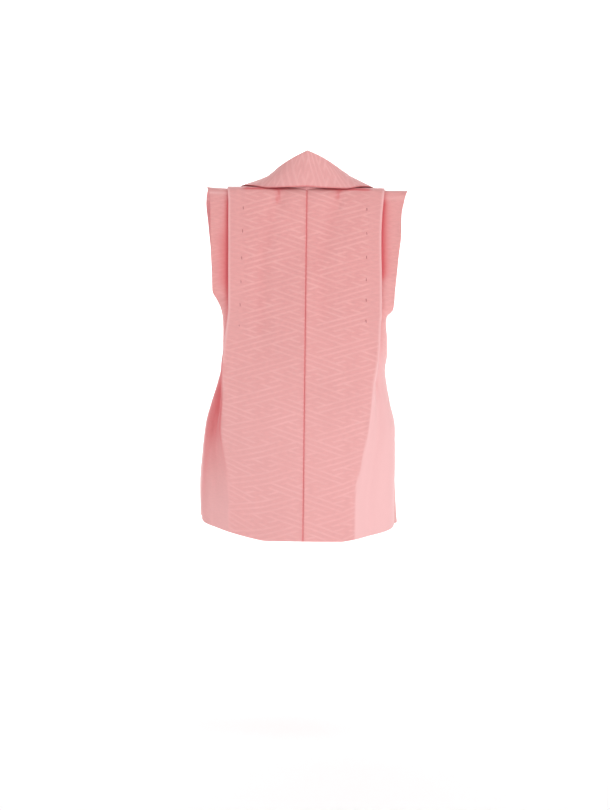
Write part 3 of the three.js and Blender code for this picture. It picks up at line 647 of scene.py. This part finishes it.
def figured_satin_group():
    """Colour, roughness and height of the figured cloth, from its cloth coordinates."""
    tree = bpy.data.node_groups.new("figured satin", "ShaderNodeTree")
    for way, kind, names in (
            ("INPUT", "Vector", ["Cloth"]),
            ("INPUT", "Float", ["Shadow", "Painted light", "Figure strength"]),
            ("INPUT", "Color", ["Pale", "Ground", "Figure", "Shade colour"]),
            ("OUTPUT", "Color", ["Color"]), ("OUTPUT", "Float", ["Roughness", "Height"])):
        for name in names:
            tree.interface.new_socket(name, in_out=way, socket_type=f"NodeSocket{kind}")
    given = {out.name: Reading(out) for out in tree.nodes.new("NodeGroupInput").outputs}
    where = given["Cloth"]
    across, along = across_and_along(where)
    # the hand of the cloth wanders a little, so the strokes do too
    drift = (noise_over(where, *WANDER) - 0.5) * WANDER_SHARE
    total = across / STEP_ACROSS
    upright_line = (along - across * WEAVE_SKEW + drift) / LINE_PITCH + total * 0.5
    level_line = total - upright_line
    figure = calc("MAXIMUM",
                  stroke_family(upright_line, level_line, UPRIGHT_STROKES, UPRIGHT_MIDDLE),
                  stroke_family(level_line, upright_line, LEVEL_STROKES, LEVEL_MIDDLE))
    # the figure catches the light unevenly from one place to the next
    patchy = reading(tree, "MapRange", {"Value": noise_over(where, *PATCHES), "From Min": 0.3,
                                        "From Max": 0.7, "To Min": 0.35, "To Max": 1.0})
    figure = figure * patchy * given["Figure strength"]
    # crosswise slubs in the ground, the slow change of its tone and the grain of the threads
    slub = noise_over(stretched(where, SLUB_STRETCH), *SLUB) - 0.5
    tone = noise_over(where, *TONE) - 0.5
    grain = noise_over(stretched(where, GRAIN_STRETCH), *GRAIN) - 0.5
    light = tone * TONE_SHARE + (slub * SLUB_SHARE + grain * GRAIN_SHARE)
    woven = reading(tree, "HueSaturation", {
        "Value": light + 1.0, "Color": blended(figure, given["Ground"], given["Figure"])})
    # painted light, then painted shade, over the woven colour
    faded = blended(given["Painted light"], woven, given["Pale"])
    feed(tree.nodes.new("NodeGroupOutput"), {
        "Color": blended(given["Shadow"], faded, given["Shade colour"]),
        "Roughness": 0.62 - figure * 0.16, "Height": figure * 0.6 + slub * 0.5})
    return tree


def new_material(name):
    material = bpy.data.materials.new(name)
    material.use_nodes = True
    return material, material.node_tree, material.node_tree.nodes["Principled BSDF"]


def bumped(height, strength, distance):
    return reading(height.tree, "Bump", {"Strength": strength, "Distance": distance,
                                         "Height": height})


figured_satin = figured_satin_group()
# the colour of the painted light on the satin
PAINTED_LIGHT_SATIN = (0.875, 0.50, 0.50, 1)  # colours are linear


def cloth_material(name, ground, figure, deep, strength, sheen, shade_share):
    material, tree, shader = new_material(name)
    weave = add_node(tree, "Group", {
        "Cloth": cloth_place(tree), "Shadow": attribute(tree, "fold_shadow") * shade_share,
        "Painted light": attribute(tree, "painted_light"), "Pale": PAINTED_LIGHT_SATIN,
        "Figure strength": (1.0 - attribute(tree, "painted_figure_fade")) * strength,
        "Ground": ground, "Figure": figure, "Shade colour": deep}, node_tree=figured_satin)
    made = {out.name: Reading(out) for out in weave.outputs}
    feed(shader, {"Base Color": made["Color"], "Roughness": made["Roughness"],
                  "Normal": bumped(made["Height"], 0.35, 0.0002),
                  "Specular IOR Level": 0.3, "Sheen Weight": sheen, "Sheen Roughness": 0.45,
                  "Sheen Tint": (1.0, 0.86, 0.86, 1)})
    return material


# each side's ground, figure and painted shade colour, figure strength, sheen and share of painted
# shade
SATIN = (cloth_material("figured satin, right side", (0.775, 0.34, 0.332, 1),
                        (0.87, 0.455, 0.45, 1), (0.70, 0.105, 0.12, 1), 0.72, 0.25, 1.0),
         cloth_material("figured satin, wrong side", (0.80, 0.34, 0.35, 1),
                        (0.74, 0.30, 0.31, 1), (0.45, 0.09, 0.11, 1), 0.7, 0.1, 0.35))

# where a repeat of the figure starts on each length, in mm from the centre and the shoulder
WEAVE_START = {1: (10.4, -89.6), -1: (6.3, -296.5)}


def run_below_shoulder(z):
    """Cloth between the shoulder ridge and a height on the back."""
    up = slice(RIDGE_ROW + 1)
    return RIDGE_RUN - np.interp(z, PROFILE["z"][up], profile_run[up])


def cloth_across(points):
    """Distance along each row of points, from its first one."""
    return np.array([run_along(row) for row in points])


def flat_area(across, along):
    """Area in square metres that a piece covers on its own cloth."""
    along = over_grid(along, across.shape)
    du = (across[1:, 1:] + across[:-1, 1:] - across[1:, :-1] - across[:-1, :-1]) / 2
    dv = (along[1:, 1:] + along[1:, :-1] - along[:-1, 1:] - along[:-1, :-1]) / 2
    return float(np.abs(du * dv).sum()) * MM * MM


WORD = {1: "left", -1: "right"}
bodies = {}
for side in (1, -1):
    points, across, along, (shade, plain, pale) = body_rows(side)
    bodies[side] = points
    start_x, start_z = WEAVE_START[side]
    piece = cloth_piece(f"body_length_{WORD[side]}", points,
                        -side * across + start_x, along - run_below_shoulder(start_z),
                        shade, side, plain, pale)
    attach(piece, "root")
    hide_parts(f"body_{WORD[side]}")
    flat_area(across, along)

# Side gussets, left and right.  Each is a strip of the same satin set between the back and the
# front edge of a body length, from the armhole to the hem, and bows out a little.
ARMHOLE_Z = -206
GUSSET_STEPS = 26
# the figure's sheen is painted fainter on the gussets
GUSSET_PLAIN = 0.5
GUSSET_SWELL = columns("z left right", [
    (-206, -1, -1), (-297, 1, 0), (-365, 2, 0), (-450, 3, 1), (-524, 3, 5)])
profile_rows = profile_at(body_runs)
back_rows = body_runs <= RIDGE_RUN


def edge_at(side, z, column, back):
    """A column of a body length at a height of the profile, on the back or on the front."""
    use = back_rows if back else ~back_rows
    heights = profile_rows["z"][use]
    edge = bodies[side][use, column]
    order = np.argsort(heights, kind="stable")
    return np.column_stack([np.interp(z, heights[order], edge[order, k]) for k in range(3)])


def level(vectors):
    """The vectors laid level and made one long."""
    laid = vectors * (1, 1, 0)
    return laid / np.linalg.norm(laid, axis=1)[:, None]


for side in (1, -1):
    z = np.linspace(HEM_Z, ARMHOLE_Z, int((ARMHOLE_Z - HEM_Z) / ROW_PITCH))
    back, front_edge = edge_at(side, z, -1, True), edge_at(side, z, -1, False)
    back_way = level(back - edge_at(side, z, -3, True))
    front_way = level(edge_at(side, z, -3, False) - front_edge)
    first, last = back + SEAM * back_way, front_edge - SEAM * front_way
    span = np.linalg.norm(last - first, axis=1)[:, None]
    bowed = np.interp(-z, -GUSSET_SWELL["z"], GUSSET_SWELL[WORD[side]])
    t = np.linspace(0, 1, GUSSET_STEPS + 1)[None, :, None]
    ends = (first, last, back_way * span, front_way * span)
    points = sum(end[:, None] * weight for end, weight in zip(ends, cubic(t)))
    points[..., 0] += side * bowed[:, None] * np.sin(np.pi * t[..., 0]) ** 2
    across, along = cloth_across(points), run_below_shoulder(z)
    beside = np.minimum(across, across[:, -1:] - across)
    piece = cloth_piece(f"side_gusset_{WORD[side]}", points, -side * across, along,
                        SEAM_SHADE * np.exp(-beside / SEAM_SOFT), side, GUSSET_PLAIN)
    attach(piece, "root")
    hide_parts(f"gusset_{WORD[side]}")
    flat_area(across, along)

# Front overlaps and front bands.  An overlap is sewn to the front edge of each body length and
# the upright band finishes its free edge; the left pair lies outside the right one.
LAP_TOP = -104
BAND_INNER, BAND_OUTER = 50, 84
OVERLAP_STEPS, BAND_STEPS = 44, 14
FRONT_WEAVE_START = 20
# painted shade in the groove of the sewn edges
FRONT_SEAM_SHADE = 0.8
front_z, front_y, front_crown = (PROFILE[name][RIDGE_ROW:] for name in ("z", "y", "crown"))


def front_place(side, x, z, out):
    """Points on the plain front: x across towards the piece's own side, out in front."""
    depth = smooth(-front_z, front_y, -z) + smooth(-front_z, front_crown, -z) * (
        x / PANEL_HALF) ** 2
    lift = np.where(side * x >= 0, hem_rise(1, np.abs(x), z), hem_rise(-1, np.abs(x), z))
    return np.stack([side * x, depth - side * lap_at(z) - out, z + lift], axis=-1)


fronts = (("lapped_front", "overlap", -BAND_INNER + SEAM / 2, NECK_HALF - SEAM,
           OVERLAP_STEPS),
          ("upright_band", "front_band", -BAND_OUTER, -BAND_INNER - SEAM / 2, BAND_STEPS))
for side in (1, -1):
    for name, node, low, high, steps in fronts:
        heights = np.linspace(LAP_TOP, HEM_Z, int((LAP_TOP - HEM_Z) / ROW_PITCH))
        width = high - low
        edge = EDGE_STEPS[:-1] - EDGE_GAP
        inside = np.linspace(low + EDGE_STEPS[-1], high - EDGE_STEPS[-1], steps)
        x_row = np.concatenate([low + edge, inside, high - edge[::-1]])
        sink = np.concatenate([EDGE_SINK[:-1], np.zeros(steps), EDGE_SINK[-2::-1]])
        x, z = np.meshgrid(x_row, heights)
        beside = np.minimum(x - low, high - x) - SEAM_LINE
        near_seam = np.exp(-np.clip(beside, 0, None) / SEAM_SOFT)
        if name == "upright_band":  # its free edge is a fold, not a seam
            near_seam[x - low < width / 2] = 0
        points = creased(front_place(side, x, z, -sink), FRONT_FOLDS)
        piece = cloth_piece(f"{name}_{WORD[side]}", points, -side * x + FRONT_WEAVE_START, z,
                            FRONT_SEAM_SHADE * near_seam, side)
        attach(piece, "root")
        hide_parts(f"{node}_{WORD[side]}")

# Collar.  One straight strip is sewn round the square neck opening, stands up inside it and is
# turned down outwards, so its leaf lies over the shoulders and crosses flat over the fronts.
FRONT_TURN = 1.2
LEAF_OUT = 2.0
# over the back: radius of the turn, then ridge and edge as x, y and z
COLLAR_BACK = {}
COLLAR_BACK[1] = [
    (2.6, 0, 46, 49.2, 0, 54, -4.8), (2.6, 21, 43.8, 38.2, 31, 54, -6.2),
    (2.5, 38, 36, 28, 56, 51, -6.8), (2.4, 50, 22.5, 19.3, 79, 35.5, -2.6),
    (2.2, 58, 8, 14.2, 92, 15, 0), (2, 61, -4, 11.5, 98, 0, 0.4),
    (1.8, 63, -18, 7.5, 101, -16, -0.3), (1.6, 64, -32, 1.5, 104, -31.5, -3),
    (1.4, 64.5, -45.5, -6, 105, -43.8, -8.5)]
COLLAR_BACK[-1] = [
    (2.6, 0, 46, 49.2, 0, 54, -4.8), (2.6, 21, 43.8, 40, 31, 54, -6.6),
    (2.5, 38, 36, 30.5, 56, 51, -6.8), (2.4, 51, 22.5, 23, 79, 34.5, -2),
    (2.2, 59, 8, 19, 92, 15, 0), (2, 62, -4, 15, 98, 0, 0.6), (1.8, 63.5, -18, 10, 101, -16, -0.3),
    (1.6, 64, -32, 3, 104, -31.5, -3), (1.4, 64.5, -45.5, -5.5, 105, -43.8, -8.5)]
# on the fronts: seam, ridge and edge as x and z
COLLAR_FRONT = [
    (75, -22, 64, -22, 105, -23), (75, -48, 63.5, -48, 105.5, -50), (75, -66, 63, -66, 106, -72),
    (75, -80, 63, -79, 106.5, -95), (75, -92, 62.5, -87, 106, -116),
    (75, -104, 61.3, -90.3, 103, -131), (69, -104, 58.5, -91.8, 95, -139.5),
    (60, -104, 54, -92.2, 80, -143), (46, -104, 43, -92.3, 55, -143),
    (22, -104, 21, -92.4, 24, -143)]
COLLAR_FRONT += [(x, -104, x, -92.4, x, -143) for x in (0, -22, -44, -64, -84)]
STAND_STEPS, COLLAR_TURN_STEPS, LEAF_STEPS = 7, 10, 18
LEAF_BOW = 1.5
STAND_SEAM = 0.95  # the stand's middle lies this far inside the neck's edge
COLLAR_PITCH = 2.6
SEWN_IN = 2.4  # seam allowance of the stand inside the neck
# painted light over the whole collar
COLLAR_PALE = 0.2
COLLAR_WEAVE_START = -11
# painted shade at the seam and along the free edge: how deep, and how far it reaches
COLLAR_SEAM_SHADE, COLLAR_EDGE_SHADE = (0.5, 4.0), (0.7, 0.6)


def unit(vector):
    return vector / np.linalg.norm(vector)


def collar_row(seam, ridge, edge, radius, bow):
    """One station of the collar: up the stand, over the ridge and down the leaf."""
    up = unit(ridge - seam)
    over = edge - seam
    over = unit(over - up * over.dot(up))
    centre = ridge - up * radius
    top = centre - over * radius
    stand = [seam - up * SEWN_IN]
    stand += [seam + (top - seam) * k / STAND_STEPS for k in range(STAND_STEPS)]
    angles = np.linspace(0, np.pi, COLLAR_TURN_STEPS + 1)
    turn = [centre - over * radius * math.cos(a) + up * radius * math.sin(a) for a in angles]
    leaf = [turn[-1] + (edge - turn[-1]) * t + over * bow * 4 * t * (1 - t)
            for t in np.arange(1, LEAF_STEPS + 1) / LEAF_STEPS]
    return np.array(stand + turn + leaf)


def neck_place(index, side, x, out):
    """A place on the edge of the neck opening, out from the cloth."""
    lap = side * lap_at(PROFILE["z"][index]) if PROFILE["y"][index] < 0 else 0
    face = outward[index]
    return np.array([side * x, PROFILE["y"][index] + face[0] * (out + lap),
                     PROFILE["z"][index] + face[1] * (out + lap)])


def collar_half(side):
    """Stations of half the collar, from the back of the neck to the free end in front."""
    rows = []
    for index, (turn, rx, ry, rz, ex, ey, ez) in enumerate(COLLAR_BACK[side], NECK_ROW):
        before, after = max(NECK_ROW, index - 1), index + 1
        x = PROFILE["inner"][index]
        widens, rises, falls = (PROFILE[name][after] - PROFILE[name][before]
                                for name in ("inner", "y", "z"))
        run = unit(np.array([widens, math.hypot(rises, falls)]))
        fall = -PROFILE["crown"][index] * (x / PANEL_HALF) ** 2
        seam = neck_place(index, side, x, fall)
        onward = unit(neck_place(after, side, x, fall) - seam)
        if index == NECK_ROW:
            seam[0] = 0
        else:
            seam[0] -= side * run[1] * STAND_SEAM
        seam = seam + onward * run[0] * STAND_SEAM
        rows.append(collar_row(seam, np.array([side * rx, ry, rz]),
                               np.array([side * ex, ey, ez]), turn, LEAF_BOW))
    for sx, sz, rx, rz, ex, ez in COLLAR_FRONT:
        seam = np.array([sx - SEAM if sx == NECK_HALF else sx, 0,
                         sz + SEAM if sz == LAP_TOP else sz], float)
        flat = collar_row(seam, np.array([rx, FRONT_TURN, rz], float),
                          np.array([ex, LEAF_OUT, ez], float), FRONT_TURN, 0)
        rows.append(front_place(side, flat[:, 0], flat[:, 2], flat[:, 1]))
    return np.array(rows)


def refined(rows, pitch):
    """The stations joined smoothly and read again at an even pitch."""
    middle = rows.shape[1] - LEAF_STEPS // 2
    run = run_along(rows[:, middle])
    places = np.linspace(0, run[-1], int(run[-1] / pitch) + 1)
    flat = rows.reshape(len(rows), -1)
    return np.stack([smooth(run, flat[:, k], places) for k in range(flat.shape[1])],
                    axis=1).reshape(len(places), *rows.shape[1:]), places


right_half, right_run = refined(collar_half(-1), COLLAR_PITCH)
left_half, left_run = refined(collar_half(1), COLLAR_PITCH)
collar_points = np.concatenate([right_half[::-1], left_half[1:]])
collar_run = np.append(-right_run[::-1], left_run[1:])
collar_across = cloth_across(collar_points)
collar_shade = sum(depth * np.exp(-away / reach) for away, (depth, reach) in (
    (collar_across, COLLAR_SEAM_SHADE), (collar_across[:, -1:] - collar_across, COLLAR_EDGE_SHADE)))
collar = cloth_piece("turned_collar", collar_points, collar_across + COLLAR_WEAVE_START,
                     collar_run, collar_shade, 1, pale=COLLAR_PALE)
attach(collar, "root")
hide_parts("collar")
flat_area(collar_across, collar_run)

# Knots and loops.  Two balls plaited from satin cord are sewn to the right length; a loop of the
# same cord, sewn down under the left band's edge, goes round the neck of each.
KNOT_X = -96
KNOT_RADIUS = 5
KNOT_NECK = 1.5
STEM_RADIUS = 0.95 * KNOT_NECK
LOOP_RADIUS = 1.0
LOOP_GAP = 1.5
BALL_GAP = 0.9
LOOP_START_X = -66
CAD_WALL = 1.2
CLEAR = CAD_WALL / 2 + SEAM
KNOT_LEVELS = {"upper": -165, "lower": -235}
PLAIT_LEADS, PLAIT_BIGHTS, PLAIT_POINTS = 3, 5, 240
PLAIT_CORD = 0.95
PLAIT_TILT, PLAIT_WEAVE, PLAIT_PHASE = 1.05, 0.4, 0.6
LAY_PER_MM = 0.42
PLAIT_SIDES, STEM_SIDES, LOOP_SIDES = 10, 12, 14


def cord_material():
    material, tree, shader = new_material("twisted satin cord")
    around, along = across_and_along(cloth_place(tree))
    # darker between the strands: painted shade in the grooves of the lay
    strand = abs(calc("SINE", (around + along * (LAY_PER_MM / MM)) * math.pi))
    feed(shader, {"Base Color": blended(strand, (0.55, 0.15, 0.17, 1), (0.86, 0.38, 0.39, 1)),
                  "Normal": bumped(strand, 0.8, 0.0004), "Roughness": 0.5,
                  "Sheen Weight": 0.3, "Sheen Roughness": 0.4})
    return material


twisted_cord = cord_material()


def add_tube(bm, path, radius, sides, closed=False):
    """A round cord through the points, in mm; its ends are filled unless it closes on itself."""
    place = bm.loops.layers.uv.get("cloth") or bm.loops.layers.uv.new("cloth")
    path = np.array(path, float)
    count = len(path)
    ahead = np.roll(path, -1, axis=0) - np.roll(path, 1, axis=0)
    if not closed:
        ahead[0], ahead[-1] = path[1] - path[0], path[-1] - path[-2]
    run = run_along(path)
    up = np.array([0.05, -1, 0.02])
    grid = bmesh.ops.create_grid(bm, x_segments=sides, y_segments=count - 1, size=1)
    cell = grid_cells(grid["verts"], count, sides + 1)
    for vert, (i, j) in cell.items():
        along_way = unit(ahead[i])
        sideways = unit(np.cross(along_way, up))
        rising = np.cross(sideways, along_way)
        angle = -2 * math.pi * j / sides
        vert.co = Vector(path[i] + radius * (sideways * math.cos(angle)
                                             + rising * math.sin(angle))) * MM
    faces = {face for vert in cell for face in vert.link_faces}
    for face in faces:
        face.smooth = True
        for loop in face.loops:
            i, j = cell[loop.vert]
            loop[place].uv = (j / sides, run[i] * MM)
    bmesh.ops.remove_doubles(bm, verts=list(cell), dist=1e-7)
    if not closed:
        ends = [edge for edge in bm.edges if edge.is_boundary]
        bmesh.ops.holes_fill(bm, edges=ends, sides=sides)


def finished(name, bm, material):
    """The object that bm holds, with its faces turned outwards."""
    bmesh.ops.recalc_face_normals(bm, faces=bm.faces)
    return made_of(name, bm, material)


def front_point(side, x, z, out):
    return front_place(side, np.array([float(x)]), np.array([float(z)]), np.array([out]))[0]


for word, z in KNOT_LEVELS.items():
    base = front_point(-1, -KNOT_X, z, CLEAR)
    loop_at = front_point(1, -BAND_OUTER, z, CLEAR + LOOP_RADIUS)
    ball = -loop_at[1] + LOOP_RADIUS + BALL_GAP + KNOT_RADIUS
    bm = bmesh.new()
    reach = KNOT_RADIUS - PLAIT_CORD - PLAIT_WEAVE
    t = np.linspace(0, 2 * math.pi * PLAIT_LEADS, PLAIT_POINTS)
    swing = PLAIT_BIGHTS * t / PLAIT_LEADS
    latitude = PLAIT_TILT * np.sin(swing)
    radius = reach + PLAIT_WEAVE * np.sin(2 * swing + PLAIT_PHASE)
    plait = np.column_stack([KNOT_X + radius * np.cos(latitude) * np.cos(t),
                             -ball + radius * np.sin(latitude),
                             base[2] + radius * np.cos(latitude) * np.sin(t)])
    add_tube(bm, plait, PLAIT_CORD, PLAIT_SIDES, closed=True)
    core = bmesh.ops.create_uvsphere(bm, u_segments=24, v_segments=14, radius=reach * MM,
                                     calc_uvs=True)
    bmesh.ops.translate(bm, verts=core["verts"],
                        vec=Vector((KNOT_X, -ball, base[2])) * MM)
    stem = [(KNOT_X, -out, base[2]) for out in np.linspace(-base[1], ball - reach, 8)]
    add_tube(bm, stem, STEM_RADIUS, STEM_SIDES)
    knot = finished(f"plaited_knot_{word}", bm, twisted_cord)
    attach(knot, "root")
    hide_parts(f"knot_{word}")

    bend = KNOT_NECK + LOOP_GAP + LOOP_RADIUS
    legs = np.linspace(LOOP_START_X, KNOT_X, 14)
    turn = np.linspace(math.pi / 2, 3 * math.pi / 2, 25)
    plan = ([(x, bend) for x in legs[:-1]]
            + [(KNOT_X + bend * math.cos(a), bend * math.sin(a)) for a in turn]
            + [(x, -bend) for x in legs[-2::-1]])
    path = []
    for x, dz in plan:
        lying = front_point(1, max(x, -BAND_OUTER), z + dz, CLEAR + LOOP_RADIUS)
        path.append((x, lying[1], base[2] + dz))
    bm = bmesh.new()
    add_tube(bm, path, LOOP_RADIUS, LOOP_SIDES)
    loop = finished(f"cord_loop_{word}", bm, twisted_cord)
    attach(loop, "root")
    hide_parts(f"loop_{word}")

# Tuck stitches.  Each shoulder tuck is caught down by short hand stitches in silk thread, about
# 36 mm apart on the back and the front, a little inside the fold; each sinks into the satin.
STITCH_BACK = {1: ((93.0, -38), (93.5, -72), (94.2, -112), (94.8, -147), (95.6, -181),
                   (96.4, -212)),
               -1: ((-88.5, -38), (-88.6, -74), (-88.6, -109), (-88.6, -142), (-88.6, -172),
                    (-88.6, -203))}
STITCH_FRONT_Z = (-60, -96, -132, -168, -204)
STITCH_FRONT_X = 92
STITCH_LENGTH = 4.2
STITCH_THICK = 0.42
STITCH_LEAN, STITCH_RISE, STITCH_DIP = 0.25, 0.22, 0.5
STITCH_SIDES, STITCH_POINTS = 8, 9
THREAD_GRAIN = (2600, 2)


def stitch_material():
    material, tree, shader = new_material("silk sewing thread")
    where = reading(tree, "TexCoord", out="Object")
    feed(shader, {"Roughness": 0.5, "Base Color": blended(
        noise_over(where, *THREAD_GRAIN), (0.36, 0.085, 0.10, 1), (0.60, 0.20, 0.21, 1))})
    return material


thread = stitch_material()


def surface_y(side, x, z, back):
    """Depth of the creased panel, from its nearest point."""
    use = back_rows if back else ~back_rows
    panel = bodies[side][use][:, len(EDGE_STEPS):PANEL_COLUMNS].reshape(-1, 3)
    near = np.hypot(panel[:, 0] - x, panel[:, 2] - z)
    return float(panel[np.argmin(near), 1])


for side in (1, -1):
    bm = bmesh.new()
    spots = [(x, z, True) for x, z in STITCH_BACK[side]]
    spots += [(side * STITCH_FRONT_X, z, False) for z in STITCH_FRONT_Z]
    for x, z, back in spots:
        out = 1 if back else -1
        top = surface_y(side, x, z, back) + out * CLOTH_THICK / 2
        t = np.linspace(-1, 1, STITCH_POINTS)
        path = np.column_stack([x + STITCH_LEAN * t,
                                top + out * (STITCH_RISE - STITCH_DIP * t**4),
                                z + STITCH_LENGTH / 2 * t])
        add_tube(bm, path, STITCH_THICK, STITCH_SIDES)
    stitches = finished(f"tuck_stitches_{WORD[side]}", bm, thread)
    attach(stitches, "root")

# Studio: a pale floor that sweeps up behind into a pale backdrop, a wide soft key light a
# little from the picture's right, a weaker fill from its left and a soft light from above.
FLOOR_Z = -0.82
BACKDROP_Y, BACKDROP_TOP = -2.6, 4.0
SWEEP_RADIUS = 0.9
FLOOR_REACH = 6
bm = bmesh.new()
turn = np.linspace(0, math.pi / 2, 17)
outline = ([(FLOOR_REACH, FLOOR_Z)]
           + [(BACKDROP_Y + SWEEP_RADIUS * (1 - math.sin(a)),
               FLOOR_Z + SWEEP_RADIUS * (1 - math.cos(a))) for a in turn]
           + [(BACKDROP_Y, BACKDROP_TOP)])
bmesh.ops.create_grid(bm, x_segments=1, y_segments=len(outline) - 1, size=1)
for vert, (i, _) in grid_cells(bm.verts, len(outline), 2).items():
    vert.co = Vector((FLOOR_REACH * vert.co.x, *outline[i]))
for face in bm.faces:
    face.smooth = True
paper, _, paper_shader = new_material("pale paper")
feed(paper_shader, {"Base Color": (0.9, 0.9, 0.9, 1), "Roughness": 0.9})
finished("paper_sweep", bm, paper)

world = bpy.data.worlds.new("studio")
world.use_nodes = True
feed(world.node_tree.nodes["Background"], {"Color": (1, 1, 1, 1), "Strength": 0.51})
bpy.context.scene.world = world
bpy.context.scene.view_settings.view_transform = "Standard"

AIM = (0, 0.05, -0.28)
# the last two light only the paper behind the vest and the floor
for name, place, towards, size, power in (
        ("key", (-2.6, 2.1, -0.2), AIM, 1.6, 40), ("fill", (2.7, 2.0, -0.5), AIM, 2.0, 32),
        ("top", (-0.3, 0.9, 2.3), AIM, 1.6, 10), ("front", (0.8, -2.0, 1.2), AIM, 2.0, 11),
        ("paper wash", (0, -0.7, -0.1), (0, -1.7, -0.1), 3.0, 90),
        ("floor wash", (0, 1.3, -0.66), (0, 1.3, -1.66), 6.0, 30)):
    light = with_settings(bpy.data.lights.new(name, "AREA"), size=size, energy=power)
    way = Vector(towards) - Vector(place)
    with_settings(placed(name, light), location=place, visible_camera=False,
                  rotation_euler=way.to_track_quat("-Z", "Y").to_euler())

# the camera stands level behind the vest, turned a touch about its own axis
CAMERA_PLACE = (-0.0009, 3.195, -0.326)
CAMERA_ROLL = math.radians(0.665)
camera = placed("camera", with_settings(bpy.data.cameras.new("camera"), lens=95.0,
                                        sensor_fit="VERTICAL", sensor_height=36))
camera.matrix_world = (Matrix.Translation(CAMERA_PLACE) @ Matrix.Rotation(math.pi, 4, "Z")
                       @ Matrix.Rotation(math.pi / 2, 4, "X")
                       @ Matrix.Rotation(CAMERA_ROLL, 4, "Z"))
bpy.context.scene.camera = camera
